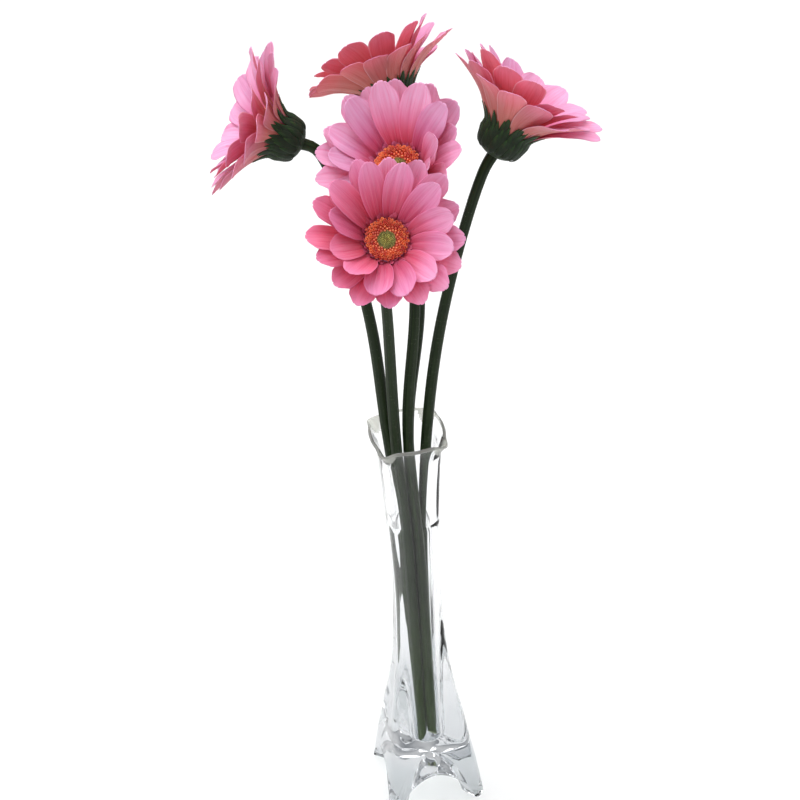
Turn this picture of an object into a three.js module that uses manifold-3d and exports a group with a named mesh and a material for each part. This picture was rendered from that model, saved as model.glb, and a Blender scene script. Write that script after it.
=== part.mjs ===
// Five gerberas standing in a clear glass tower vase that holds some water.
// Millimetres, +Z up. The vase stands on z = 0.
import * as THREE from "three";
import { mergeVertices } from "three/addons/utils/BufferGeometryUtils.js";
import Module from "manifold-3d";

const wasm = await Module();
wasm.setup();

const GAP = 0.3; // clearance between pieces that touch

// Vase
const VASE_HEIGHT = 300;
const VASE_TURN = 10; // degrees about its own axis
const WELL_FLOOR = 42; // solid glass below this
const WATER_LEVEL = 230;
const WATER_INSET = 0.45; // from the wall of the well
const WATER_SIDES = 16;
const WAIST_HEIGHT = 200;
const STEMS_AT_RIM = 305; // height at which the places of the stems at the rim are given
const ARCH_HEIGHT = 25; // the opening between two feet
const ARCH_HALF = 38; // degrees each side of the middle of a face
const VAULT_TOP = 27; // underside of the solid base, at the axis
const QUARTER_STEPS = [-45, -38, -30, -17, 0, 17, 30, 38]; // degrees from a face's middle

// Height, half width of a face, squareness (2 is round)
const VASE_OUTSIDE = [
  [0, 34.2, 8],
  [25, 31, 7],
  [47, 27.5, 6],
  [65, 25, 5],
  [82, 21.8, 4.5],
  [108, 18.3, 3.9],
  [135, 16.6, 3.5],
  [180, 15.4, 3.2],
  [236, 17.1, 3.6],
  [274, 18.9, 3.8],
  [288, 20.7, 3.2],
  [295.5, 23, 2.7],
  [299, 24.6, 2.5],
];
const VASE_INSIDE = [
  [WELL_FLOOR, 11.2, 2],
  [WELL_FLOOR + 3, 12, 2],
  [190, 12.1, 2.1],
  [240, 13.6, 2.6],
  [276, 16, 3.3],
  [288, 18, 3.2],
  [295.5, 20.6, 2.7],
  [299.2, 22.4, 2.5],
];
const RIM_TOP = [VASE_HEIGHT, 23.5, 2.5];
// The rim is drawn out at the corners into lips that droop a little
const LIP_REACH = 4.4;
const LIP_DROOP = 2;
const LIP_START = 284;
const LIP_WIDTH = 11; // degrees

// Underside of the base: half width, squareness, height under a corner, height under a face
const VASE_UNDERSIDE = [
  [9, 2, VAULT_TOP, VAULT_TOP],
  [19, 3.5, 18, 26.5],
  [25.5, 6, 0, 25.5],
];
// Outside rings: height at a corner, height at the middle of a face
const VASE_RINGS = [
  [0, ARCH_HEIGHT],
  [20, 36],
  [47, 50],
  [65, 65],
  [82, 82],
  [108, 108],
  [135, 135],
  [180, 180],
  [236, 236],
  [274, 274],
  [288, 288],
  [295.5, 295.5],
  [299, 299],
];

// Flower head, in its own frame: +Z is the way that it faces, z = 0 where the rays spring
const STEM_RADIUS = 3.5;
const HOLE_RADIUS = 4; // of the holes that the stems leave in the water
const HOLE_DEEPER = 2; // the holes start this far below the floor of the well
const STEM_SIDES = 7;
const STEM_STEPS = 14;
const NECK_LENGTH = 32; // from the head's centre back to where its stem starts to curve
const STEM_TOP = 18; // from the head's centre back to the end of the stem, inside the cup
const CUP_OUTLINE = [
  [0, -22],
  [3.4, -22],
  [9, -20.3],
  [11.8, -17.4],
  [13.9, -10],
  [13.7, -8.3],
  [0, -8.3],
];
const CUP_SIDES = 12;
const CORE_RADIUS = 12.8;
const CORE_TAPER = 0.6;
const CORE_BOTTOM = -8;
const CORE_TOP = 1.5;
const CORE_SIDES = 16;
const PETAL_THICK = 1.4;
const PETAL_FOLD = 1.3; // how far a petal's edges stand above its middle
const PETAL_ROLL = 0.14; // one edge up and the other down, so that neighbours overlap like tiles
const ROOT_WIDTH = 0.28; // share of a petal's width at its root
const ROOT_THICK = 1;
const ROOT_FOLD = 0.3;
const BRACTS = 13;
const BRACT_ROOT = { out: 12.4, up: -13, angle: THREE.MathUtils.degToRad(72) };
const BRACT_SHARES = [0.03, 0.2]; // where it lies along the petals
const BRACT_HALVES = [2.4, 2.3, 0.4];
const BRACT_THICK = 1;
const BRACT_OFFSET = 1.75; // a bract's inner face behind the petals' middle line

// Disc florets and the green eye in them: radius, height, whether the surface is raised in bumps
const DISC_OUTLINE = [
  [5.6, 1.8, 0],
  [11.9, 1.8, 0],
  [11.6, 4.1, 1],
  [9.9, 4, 1],
  [7.7, 3.4, 1],
  [5.6, 2.8, 0],
  [5.6, 1.8, 0],
];
const DISC_SIDES = 16;
const DISC_BUMP = 0.8;
const EYE_OUTLINE = [
  [0, 1.8, 0],
  [5.1, 1.8, 0],
  [5.2, 2.4, 0],
  [3.9, 3.3, 1],
  [2.1, 3.4, 1],
  [0, 3.3, 0],
];
const EYE_SIDES = 8;
const EYE_BUMP = 0.35;
const BUMP_DIP = -0.4; // share of a bump's height that the surface drops between bumps

// Outline of a petal: share of its length, share of its half width
const LONG_OUTLINE = [
  [0.1, 0.46],
  [0.34, 0.84],
  [0.66, 1],
  [0.9, 0.92],
  [1, 0.5],
];
const SHORT_OUTLINE = [
  [0.14, 0.54],
  [0.45, 0.92],
  [0.8, 1],
  [1, 0.54],
];

// A petal leaves the core steeply and bends outward, mostly near its root
const BEND = 2;
const LINE_STEPS = 24;

// How far petals differ: length as a share, rise at the root and at the tip in degrees, and place
// round the head as a share of a step
const VARIED = { length: 0.12, rise: 4, tip: 12, place: 0.3 };

// Layers of petals: how many, length, share by which they are longer on the side that points up, half
// width, rise at the root in degrees, rise at the tip beyond the cup's angle, height where they leave
// the core's edge, and their root inside it
const LAYERS = [
  {
    count: 16, length: 40, longer: 0.05, half: 7.7, rise: 62, tip: -14, outline: LONG_OUTLINE,
    spring: -7, root: [9.5, -7.5],
  },
  {
    count: 12, length: 33, longer: 0.24, half: 8, rise: 70, tip: -2, outline: SHORT_OUTLINE,
    spring: -1.5, root: [10.2, -2.2],
  },
];
const UPWARD = [0, 0, 1];

const FIRST_SEED = 101;
const SEED_STEP = 17;

// Flowers: centre of the head, the way it faces, cup angle in degrees, how many degrees flatter the
// petals lie on one side (steeper where it is negative) and which way that side is, how many degrees
// the petals are turned about the head's axis, the stem's place at the foot of the vase, at its rim
// and at the shoulder above it, and the size of the head
const FLOWERS = [
  {
    name: "front",
    centre: [-5.2, -66.8, 486.6],
    facing: [0.096, -0.707, 0.7],
    cup: 30,
    flatter: -8,
    flatSide: [-0.5, -0.6, -0.6],
    spin: 0,
    foot: [-3.9, -5.4],
    rim: [-7.6, -9.5],
    shoulder: [-7.6, -24, 400],
    size: 1,
  },
  {
    name: "middle",
    centre: [4.7, -0.4, 494],
    facing: [-0.199, -0.535, 0.821],
    cup: 38,
    flatter: -28,
    flatSide: [0.7, -0.62, -0.36],
    spin: 9,
    foot: [3.9, -5.4],
    rim: [0.7, -3.5],
    shoulder: [9.6, -1, 395],
    size: 1.1,
  },
  {
    name: "back",
    centre: [1.5, 62, 518],
    facing: [-0.3, 0.52, 0.8],
    cup: 36,
    flatter: 14,
    flatSide: [-1, -0.3, -0.3],
    spin: 0,
    foot: [0, 6.6],
    rim: [1.6, 6.5],
    shoulder: [13, 20, 385],
    size: 1.04,
  },
  {
    name: "left",
    centre: [-72, 21, 514],
    facing: [-0.887, 0.104, 0.449],
    cup: 32,
    flatter: 8,
    flatSide: [0.3, -0.9, 0.3],
    spin: 0,
    foot: [-6.3, 2],
    rim: [-13, -1],
    shoulder: [-19.6, -2, 396],
    size: 1.03,
  },
  {
    name: "right",
    centre: [75, 14, 514],
    facing: [0.547, 0.2625, 0.791],
    cup: 40,
    flatter: 0,
    flatSide: [0, 0, 1],
    spin: 0,
    foot: [6.3, 2],
    rim: [13.6, 2],
    shoulder: [27.6, 5, 388],
    size: 1.1,
  },
];

const MATERIALS = {
  glass: new THREE.MeshStandardMaterial({
    color: 0xe8eef0, roughness: 0.03, metalness: 0, transparent: true, opacity: 0.35,
  }),
  water: new THREE.MeshStandardMaterial({
    color: 0xdfe9e6, roughness: 0.02, metalness: 0, transparent: true, opacity: 0.3,
  }),
  green: new THREE.MeshStandardMaterial({ color: 0x33452a, roughness: 0.6, metalness: 0 }),
  petal: new THREE.MeshStandardMaterial({ color: 0xe98db4, roughness: 0.6, metalness: 0 }),
  disc: new THREE.MeshStandardMaterial({ color: 0xd9743c, roughness: 0.75, metalness: 0 }),
  eye: new THREE.MeshStandardMaterial({ color: 0x8a8d42, roughness: 0.75, metalness: 0 }),
};

const radians = THREE.MathUtils.degToRad;

// The same numbers each time
function seeded(seed) {
  let state = seed;
  return function next() {
    state = (state * 1664525 + 1013904223) % 4294967296;
    return state / 4294967296;
  };
}

// A smooth curve through a table's rows, read at a height: gives the other columns
function tableAt(table, height) {
  const last = table.length - 1;
  let row = 0;
  while (row < last - 1 && table[row + 1][0] < height) {
    row += 1;
  }
  const slope = function (index, column) {
    const before = table[Math.max(index - 1, 0)];
    const after = table[Math.min(index + 1, last)];
    return (after[column] - before[column]) / (after[0] - before[0]);
  };
  const span = table[row + 1][0] - table[row][0];
  const t = THREE.MathUtils.clamp((height - table[row][0]) / span, 0, 1);
  return [1, 2].map(function (column) {
    const from = table[row][column];
    const to = table[row + 1][column];
    const leave = slope(row, column) * span;
    const arrive = slope(row + 1, column) * span;
    return (
      from * (2 * t ** 3 - 3 * t ** 2 + 1) +
      leave * (t ** 3 - 2 * t ** 2 + t) +
      to * (3 * t ** 2 - 2 * t ** 3) +
      arrive * (t ** 3 - t ** 2)
    );
  });
}

// Distance from the axis to a rounded square, in the direction of an angle from a face's middle
function squareRadius(half, squareness, angle) {
  const across = Math.abs(Math.cos(angle)) ** squareness + Math.abs(Math.sin(angle)) ** squareness;
  return half * across ** (-1 / squareness);
}

// How far the arch between two feet is open at an angle: 1 over a face's middle, 0 at a foot
function archShare(angle) {
  const quarter = Math.PI / 2;
  const fromMiddle = Math.abs(angle - Math.round(angle / quarter) * quarter);
  const share = fromMiddle / radians(ARCH_HALF);
  return share < 1 ? Math.sqrt(1 - share * share) : 0;
}

// A closed body turned about Z, whose rings are reshaped by place(ring, angle) to [radius, height]
function reshapedLathe(rings, angles, place) {
  const profile = rings.map((ring, index) => new THREE.Vector2(index, index));
  const geometry = new THREE.LatheGeometry(profile, angles.length);
  const position = geometry.getAttribute("position");
  for (let index = 0; index < position.count; index += 1) {
    const ring = rings[index % rings.length];
    const angle = angles[Math.floor(index / rings.length) % angles.length];
    const [radius, height] = place(ring, angle);
    position.setXYZ(index, radius * Math.cos(angle), radius * Math.sin(angle), height);
  }
  return geometry;
}

// Manifold solid of a three.js geometry, turned face outward
function solidOf(geometry) {
  const bare = geometry.clone();
  for (const name of Object.keys(bare.attributes)) {
    if (name !== "position") {
      bare.deleteAttribute(name);
    }
  }
  const merged = mergeVertices(bare, 1e-4);
  const corners = new Float32Array(merged.getAttribute("position").array);
  const kept = [];
  const faces = merged.getIndex().array;
  for (let at = 0; at < faces.length; at += 3) {
    const [a, b, c] = [faces[at], faces[at + 1], faces[at + 2]];
    if (a !== b && b !== c && c !== a) {
      kept.push(a, b, c);
    }
  }
  const triangles = new Uint32Array(kept);
  if (signedVolume(corners, triangles) < 0) {
    for (let at = 0; at < triangles.length; at += 3) {
      [triangles[at], triangles[at + 1]] = [triangles[at + 1], triangles[at]];
    }
  }
  return new wasm.Manifold(
    new wasm.Mesh({ numProp: 3, vertProperties: corners, triVerts: triangles }),
  );
}

function signedVolume(corners, triangles) {
  const a = new THREE.Vector3();
  const b = new THREE.Vector3();
  const c = new THREE.Vector3();
  let volume = 0;
  for (let at = 0; at < triangles.length; at += 3) {
    a.fromArray(corners, triangles[at] * 3);
    b.fromArray(corners, triangles[at + 1] * 3);
    c.fromArray(corners, triangles[at + 2] * 3);
    volume += a.dot(b.cross(c)) / 6;
  }
  return volume;
}

function geometryOf(solid) {
  const mesh = solid.getMesh();
  const geometry = new THREE.BufferGeometry();
  const corners = new Float32Array(mesh.numVert * 3);
  for (let index = 0; index < mesh.numVert; index += 1) {
    for (let axis = 0; axis < 3; axis += 1) {
      corners[index * 3 + axis] = mesh.vertProperties[index * mesh.numProp + axis];
    }
  }
  geometry.setAttribute("position", new THREE.BufferAttribute(corners, 3));
  geometry.setIndex(new THREE.BufferAttribute(new Uint32Array(mesh.triVerts), 1));
  geometry.computeVertexNormals();
  return geometry;
}

function fused(geometries) {
  return geometries.map(solidOf).reduce((whole, solid) => whole.add(solid));
}

// A closed skin over rings of points, each ring with as many points, the two ends closed by a fan
function loft(rings) {
  const sides = rings[0].length;
  const corners = [];
  const faces = [];
  for (const ring of rings) {
    for (const point of ring) {
      corners.push(point.x, point.y, point.z);
    }
  }
  for (let ring = 0; ring < rings.length - 1; ring += 1) {
    for (let side = 0; side < sides; side += 1) {
      const next = (side + 1) % sides;
      const [a, b] = [ring * sides + side, ring * sides + next];
      const [c, d] = [a + sides, b + sides];
      faces.push(a, b, d, a, d, c);
    }
  }
  const end = (rings.length - 1) * sides;
  for (let side = 1; side < sides - 1; side += 1) {
    faces.push(0, side + 1, side);
    faces.push(end, end + side, end + side + 1);
  }
  const geometry = new THREE.BufferGeometry();
  geometry.setAttribute("position", new THREE.Float32BufferAttribute(corners, 3));
  geometry.setIndex(faces);
  return geometry;
}

// How much of a lip stands out at an angle and a height: 1 at a corner of the rim
function lipShare(angle, height) {
  const quarter = Math.PI / 2;
  const fromMiddle = Math.abs(angle - Math.round(angle / quarter) * quarter);
  const fromCorner = (quarter / 2 - fromMiddle) / radians(LIP_WIDTH);
  const risen = THREE.MathUtils.clamp((height - LIP_START) / (VASE_HEIGHT - LIP_START), 0, 1);
  return Math.exp(-fromCorner * fromCorner) * risen * risen;
}

// A point of the vase's wall, inside or outside, as [radius, height]
function wallPoint(half, squareness, angle, height) {
  const lip = lipShare(angle, height);
  return [squareRadius(half, squareness, angle) + LIP_REACH * lip, height - LIP_DROOP * lip];
}

function vase() {
  const angles = [];
  for (let quarter = 0; quarter < 4; quarter += 1) {
    for (const step of QUARTER_STEPS) {
      angles.push(radians(90 * quarter + step));
    }
  }
  const rings = [
    { part: "pole", height: VAULT_TOP },
    ...VASE_UNDERSIDE.map((row) => ({ part: "underside", row })),
    ...VASE_RINGS.map((row) => ({ part: "outside", row })),
    { part: "table", row: RIM_TOP },
    ...VASE_INSIDE.toReversed().map((row) => ({ part: "table", row })),
    { part: "pole", height: WELL_FLOOR },
  ];
  return reshapedLathe(rings, angles, function (ring, angle) {
    if (ring.part === "pole") {
      return [0, ring.height];
    }
    if (ring.part === "table") {
      const [height, half, squareness] = ring.row;
      return wallPoint(half, squareness, angle, height);
    }
    const open = archShare(angle);
    if (ring.part === "underside") {
      const [half, squareness, corner, face] = ring.row;
      return [squareRadius(half, squareness, angle), corner + (face - corner) * open];
    }
    const [corner, face] = ring.row;
    const height = corner + (face - corner) * open;
    const [half, squareness] = tableAt(VASE_OUTSIDE, height);
    return wallPoint(half, squareness, angle, height);
  });
}

// The way that a flower's stem takes, from below the waist of the vase up into its head
function stemRoute(flower, bottom) {
  const centre = new THREE.Vector3(...flower.centre);
  const facing = new THREE.Vector3(...flower.facing).normalize();
  const behind = (distance) => centre.clone().addScaledVector(facing, -distance * flower.size);
  return new THREE.CatmullRomCurve3([
    new THREE.Vector3(...flower.foot, bottom),
    new THREE.Vector3(...flower.foot, WAIST_HEIGHT),
    new THREE.Vector3(...flower.rim, STEMS_AT_RIM),
    new THREE.Vector3(...flower.shoulder),
    behind(NECK_LENGTH),
    behind(STEM_TOP),
  ]);
}

function tube(route, radius) {
  const section = new THREE.Shape();
  for (let side = 0; side < STEM_SIDES; side += 1) {
    const angle = (2 * Math.PI * side) / STEM_SIDES;
    const point = [radius * Math.cos(angle), radius * Math.sin(angle)];
    if (side === 0) {
      section.moveTo(...point);
    } else {
      section.lineTo(...point);
    }
  }
  return new THREE.ExtrudeGeometry(section, { steps: STEM_STEPS, extrudePath: route });
}

// Even angles for a whole turn
function roundAngles(count) {
  return Array.from({ length: count }, (unused, step) => (2 * Math.PI * step) / count);
}

// The water fills the well up to its level, with a plain hole for each stem
function water() {
  const rows = VASE_INSIDE.filter(([height]) => height > WELL_FLOOR && height < WATER_LEVEL);
  const surface = [WATER_LEVEL, ...tableAt(VASE_INSIDE, WATER_LEVEL)];
  const bottom = WELL_FLOOR + GAP;
  const [, floorRadius, floorSquareness] = VASE_INSIDE[0];
  const rings = [
    [bottom, 0, 2],
    [bottom, floorRadius, floorSquareness],
    ...rows,
    surface,
    [WATER_LEVEL, 0, 2],
  ];
  const angles = roundAngles(WATER_SIDES);
  const body = reshapedLathe(rings, angles, function (ring, angle) {
    const [height, half, squareness] = ring;
    return [half === 0 ? 0 : squareRadius(half, squareness, angle) - WATER_INSET, height];
  });
  body.rotateZ(radians(VASE_TURN));
  return FLOWERS.reduce(
    function (rest, flower) {
      const route = stemRoute(flower, WELL_FLOOR - HOLE_DEEPER);
      return rest.subtract(solidOf(tube(route, HOLE_RADIUS)));
    },
    solidOf(body),
  );
}

// How far out and how high a petal's middle line is after a share of its length
function petalLine(layer, rise, tip, share) {
  const angleAt = (at) => radians(tip + (rise - tip) * (1 - at) ** BEND);
  const line = { out: CORE_RADIUS, up: layer.spring, angle: angleAt(share) };
  const step = share / LINE_STEPS;
  for (let index = 0; index < LINE_STEPS; index += 1) {
    const angle = angleAt((index + 0.5) * step);
    line.out += layer.length * step * Math.cos(angle);
    line.up += layer.length * step * Math.sin(angle);
  }
  return line;
}

// A folded blade round the head at an azimuth: ring points across, below and above the middle
function bladeRing(azimuth, line, half, thick, fold) {
  const outward = new THREE.Vector3(Math.cos(azimuth), Math.sin(azimuth), 0);
  const across = new THREE.Vector3(-Math.sin(azimuth), Math.cos(azimuth), 0);
  const above = outward.clone().multiplyScalar(-Math.sin(line.angle));
  above.z = Math.cos(line.angle);
  const middle = outward.clone().multiplyScalar(line.out);
  middle.z = line.up;
  const at = (side, lift) =>
    middle.clone().addScaledVector(across, side).addScaledVector(above, lift);
  const roll = half * PETAL_ROLL;
  return [at(half, fold + roll), at(0, thick / 2), at(-half, fold - roll), at(0, -thick / 2)];
}

// How far an azimuth round the head points toward a side: 1 straight toward it, 0 away from it
function towardSide(flower, direction, azimuth) {
  const side = new THREE.Vector3(...direction);
  side.applyQuaternion(headTurn(flower).invert());
  return Math.max(Math.cos(azimuth - Math.atan2(side.y, side.x)), 0);
}

// The cup's angle at an azimuth round the head: petals lie flatter on one side
function cupAt(flower, azimuth) {
  return flower.cup - flower.flatter * towardSide(flower, flower.flatSide, azimuth);
}

function petal(flower, layer, azimuth, draw) {
  const cup = cupAt(flower, azimuth);
  const varied = (amount) => amount * (draw() - 0.5);
  const rise = layer.rise + varied(VARIED.rise);
  const tip = cup + layer.tip + varied(VARIED.tip);
  const longer = 1 + layer.longer * towardSide(flower, UPWARD, azimuth);
  const sized = { ...layer, length: layer.length * (1 + varied(VARIED.length)) * longer };
  const root = { out: layer.root[0], up: layer.root[1], angle: radians(rise / 2) };
  const rings = [bladeRing(azimuth, root, layer.half * ROOT_WIDTH, ROOT_THICK, ROOT_FOLD)];
  for (const [share, width] of layer.outline) {
    const line = petalLine(sized, rise, tip, share);
    const fold = PETAL_FOLD * width;
    rings.push(bladeRing(azimuth, line, layer.half * width, PETAL_THICK, fold));
  }
  return loft(rings);
}

// Two layers of petals round a short core
function rays(flower, draw) {
  const core = new THREE.CylinderGeometry(
    CORE_RADIUS, CORE_RADIUS - CORE_TAPER, CORE_TOP - CORE_BOTTOM, CORE_SIDES,
  );
  core.rotateX(Math.PI / 2);
  core.translate(0, 0, (CORE_TOP + CORE_BOTTOM) / 2);
  const pieces = [core];
  LAYERS.forEach(function (layer, index) {
    for (let turn = 0; turn < layer.count; turn += 1) {
      const jitter = VARIED.place * (draw() - 0.5);
      const place = (2 * Math.PI * (turn + 0.5 * index + jitter)) / layer.count;
      const azimuth = place + radians(flower.spin);
      pieces.push(petal(flower, layer, azimuth, draw));
    }
  });
  return fused(pieces);
}

// A three-sided blade along the given lines, flat on its inner face and ridged on its outer one
function threeSided(azimuth, lines, halves, thick) {
  const rings = lines.map(function (line, index) {
    const [left, , right, ridge] = bladeRing(azimuth, line, halves[index], 2 * thick, 0);
    return [left, right, ridge];
  });
  return loft(rings);
}

// The green cup behind the petals, with pointed bracts that lie along them
function calyx(flower) {
  const outline = CUP_OUTLINE.map(([radius, height]) => new THREE.Vector2(radius, height));
  const cup = new THREE.LatheGeometry(outline, CUP_SIDES);
  cup.rotateX(Math.PI / 2);
  const pieces = [cup];
  const layer = LAYERS[0];
  for (const azimuth of roundAngles(BRACTS)) {
    const angle = cupAt(flower, azimuth);
    const along = BRACT_SHARES.map(function (share) {
      const line = petalLine(layer, layer.rise, angle + layer.tip, share);
      return {
        out: line.out + BRACT_OFFSET * Math.sin(line.angle),
        up: line.up - BRACT_OFFSET * Math.cos(line.angle),
        angle: line.angle,
      };
    });
    pieces.push(threeSided(azimuth, [BRACT_ROOT, ...along], BRACT_HALVES, BRACT_THICK));
  }
  return pieces;
}

function headTurn(flower) {
  const facing = new THREE.Vector3(...flower.facing).normalize();
  return new THREE.Quaternion().setFromUnitVectors(new THREE.Vector3(0, 0, 1), facing);
}

function headMatrix(flower) {
  const centre = new THREE.Vector3(...flower.centre);
  const size = new THREE.Vector3().setScalar(flower.size);
  return new THREE.Matrix4().compose(centre, headTurn(flower), size);
}

function stem(flower) {
  const matrix = headMatrix(flower);
  const head = calyx(flower).map((geometry) => geometry.applyMatrix4(matrix));
  return fused([tube(stemRoute(flower, WELL_FLOOR + GAP), STEM_RADIUS), ...head]);
}

// A turned body whose surface is raised in alternate bumps, as packed florets are
function bumpy(outline, sides, bump) {
  const rings = outline.map((row, index) => ({ row, index }));
  return reshapedLathe(rings, roundAngles(sides), function (ring, angle) {
    const [radius, height, raised] = ring.row;
    const step = Math.round((angle * sides) / (2 * Math.PI)) + ring.index;
    return [radius, height + raised * bump * (step % 2 === 0 ? 1 : BUMP_DIP)];
  });
}

function piece(name, solid, material) {
  const mesh = new THREE.Mesh(geometryOf(solid), material);
  mesh.name = name;
  return mesh;
}

const arrangement = new THREE.Group();

const glass = piece("vase", fused([vase()]), MATERIALS.glass);
glass.rotation.z = radians(VASE_TURN);
arrangement.add(glass);
arrangement.add(piece("water", water(), MATERIALS.water));

FLOWERS.forEach(function (flower, index) {
  const { name } = flower;
  const draw = seeded(FIRST_SEED + SEED_STEP * index);
  const florets = fused([bumpy(DISC_OUTLINE, DISC_SIDES, DISC_BUMP)]);
  const eye = fused([bumpy(EYE_OUTLINE, EYE_SIDES, EYE_BUMP)]);
  const head = new THREE.Group();
  headMatrix(flower).decompose(head.position, head.quaternion, head.scale);
  head.add(piece(`petals_${name}`, rays(flower, draw), MATERIALS.petal));
  head.add(piece(`florets_${name}`, florets, MATERIALS.disc));
  head.add(piece(`eye_${name}`, eye, MATERIALS.eye));
  arrangement.add(head);
  arrangement.add(piece(`stem_${name}`, stem(flower), MATERIALS.green));
});

// The origin is on the surface, under the middle of the whole arrangement
arrangement.updateMatrixWorld(true);
const middle = new THREE.Box3().setFromObject(arrangement, true).getCenter(new THREE.Vector3());
arrangement.position.set(-middle.x, -middle.y, 0);

const model = new THREE.Group();
model.add(arrangement);

export default model;
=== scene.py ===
# Five gerberas standing in a clear glass tower vase that holds some water.
# Lengths are written in millimetres and turned into metres where a mesh is made.
import math

import bmesh
import bpy
import numpy as np
from mathutils import Matrix, Vector


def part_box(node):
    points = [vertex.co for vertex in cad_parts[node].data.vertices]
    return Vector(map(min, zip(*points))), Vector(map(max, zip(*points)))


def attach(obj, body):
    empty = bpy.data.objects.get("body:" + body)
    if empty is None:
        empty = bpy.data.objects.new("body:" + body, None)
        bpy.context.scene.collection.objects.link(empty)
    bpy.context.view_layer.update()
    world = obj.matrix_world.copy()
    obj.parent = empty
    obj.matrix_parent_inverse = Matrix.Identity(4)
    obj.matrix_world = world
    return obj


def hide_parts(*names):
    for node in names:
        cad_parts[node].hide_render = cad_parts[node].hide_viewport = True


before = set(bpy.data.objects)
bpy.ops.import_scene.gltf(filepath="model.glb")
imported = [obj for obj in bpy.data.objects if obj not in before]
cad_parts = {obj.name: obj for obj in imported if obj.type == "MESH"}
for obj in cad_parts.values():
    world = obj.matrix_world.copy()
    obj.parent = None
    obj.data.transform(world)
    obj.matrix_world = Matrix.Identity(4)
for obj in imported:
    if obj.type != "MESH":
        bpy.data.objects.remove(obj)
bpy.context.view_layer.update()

MM = 0.001
RNG_SEED = 20
THIRDS = (0, 2.094, 4.189)  # of a turn, in radians

# Vase
VASE_HEIGHT = 300
VASE_TURN = math.radians(10)  # about its axis
WELL_FLOOR = 42
WELL_FILLET = 4  # between the floor of the well and its wall
WATER_LEVEL = 230
EDGE_FROM = 297.4  # the rim is a little frosted above this
LIP_EDGE = 0.12  # and its lips where they stand out by more than this share
ARCH_HALF = math.radians(38)  # half the opening between two feet, seen from the axis
VAULT_TOP = 27
FOOT_EDGE = 1.4  # rounding of the feet
# How far above the foot's plane, how far inside the wall
FOOT_ROUNDING = [(0, FOOT_EDGE), (0, 0.3 * FOOT_EDGE), (0.3 * FOOT_EDGE, 0.1)]

# Height, half width of a face, squareness (2 is round)
VASE_OUTSIDE = [
    (0, 34.2, 8), (25, 31, 7), (47, 27.5, 6), (65, 25, 5), (82, 21.8, 4.5), (108, 18.3, 3.9),
    (135, 16.6, 3.5), (180, 15.4, 3.2), (236, 17.1, 3.6), (274, 18.9, 3.8), (288, 20.7, 3.2),
    (295.5, 23, 2.7), (299, 24.6, 2.5),
]
VASE_INSIDE = [
    (WELL_FLOOR, 12, 2), (WELL_FLOOR + 6, 12, 2), (190, 12.1, 2.1), (240, 13.6, 2.6),
    (276, 16, 3.3), (288, 18, 3.2), (295.5, 20.6, 2.7), (299.2, 22.4, 2.5),
]
RIM_HALF = 23.35
RIM_ROUND = 1.1
RIM_BOTTOM = 298.7
RIM_SQUARENESS = 2.5
# The rim is drawn out at the corners into lips that droop a little
LIP_REACH = 4.4
LIP_DROOP = 2
LIP_START = 284
LIP_WIDTH = math.radians(11)

# Underside of the base: half width, squareness, height under a corner, height under a face
VASE_UNDERSIDE = [
    (0, 2, VAULT_TOP, VAULT_TOP), (9, 2, VAULT_TOP, VAULT_TOP), (19, 3.5, 18, 26.5), (25.5, 6, 0, 25.5)]
VAULT_START = 0.15  # where the first ring of the underside lies between its first two rows
# Lower rings of the outside: height at a corner, height at the middle of a face
VASE_RINGS = [(0, 25), (20, 36), (47, 50), (65, 65)]

# How many rings the vase has on each stretch, and where those on the well's floor are, as shares
UNDERSIDE_RINGS = 30
ARCH_RINGS = 28
OUTSIDE_RINGS = 52
FLARE_RINGS = 16
RIM_RINGS = 9
WELL_RINGS = 50
FILLET_RINGS = 9
FLOOR_SHARES = (0.75, 0.5, 0.25, 0.06)

# Water: it reaches a hair into the wall of the well, and has rings on its underside, given as shares,
# up its side, and on its surface, given as distances from the wall
WATER_OVERLAP = 0.04
WATER_SIDES = 96
WATER_RINGS = 40
WATER_FLOOR_SHARES = (0.06, 0.3, 0.6, 0.85)
WATER_INWARD = (0.25, 0.6, 1.1, 1.8, 2.8, 5, 8, 11)

# Flower heads, in a frame of their own: +Z is the way that a head faces
CORE_RADIUS = 12.8
CORE_OUTLINE = [(0, -8), (11.8, -8), (12.2, -7.4), (12.7, 0.6), (11.8, 1.5), (0, 1.5)]
CORE_SIDES = 40
PETAL_ROWS = 21
STRAP_ROWS = 8
PETAL_COLUMNS = np.array([
    -1, -0.94, -0.8, -0.62, -0.46, -0.34, -0.22, -0.1, 0, 0.1, 0.22, 0.34, 0.46, 0.62, 0.8, 0.94, 1])
STRAP_COLUMNS = np.array([-1, -0.5, 0, 0.5, 1])
PETAL_STEPS = 80  # along its middle line
PETAL_FOLD = 1.3
PETAL_ROLL = 0.2
PETAL_THICK = 0.5
STRAP_THICK = 0.35
PETAL_BLUNT = 0.075  # share of its length by which a petal is shorter at its edges
NOTCH_DEPTH = 0.016  # of the notches in its tip, as a share of its length
NOTCH_WIDTH = 0.07
GROOVE_AT = 0.34  # share of the half width
GROOVE_WIDTH = 0.12
GROOVE_DEPTH = 0.55
PETAL_WAVE = 0.5
PETAL_CURL = 2.6
CURL_LEVEL = 0.42  # share of the petals that curl down, the others curl up
PETAL_DRIFT = 2.4  # how far apart sideways the tips may stray
VARIED = {"length": 0.12, "rise": 4, "tip": 12, "place": 0.3, "blunt": 0.03, "roll": 0.5}
VARIED_STRAP = {"length": 0.7, "rise": 22, "place": 0.6}
BEND = 2  # a petal leaves the core steeply and bends outward, mostly near its root

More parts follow.
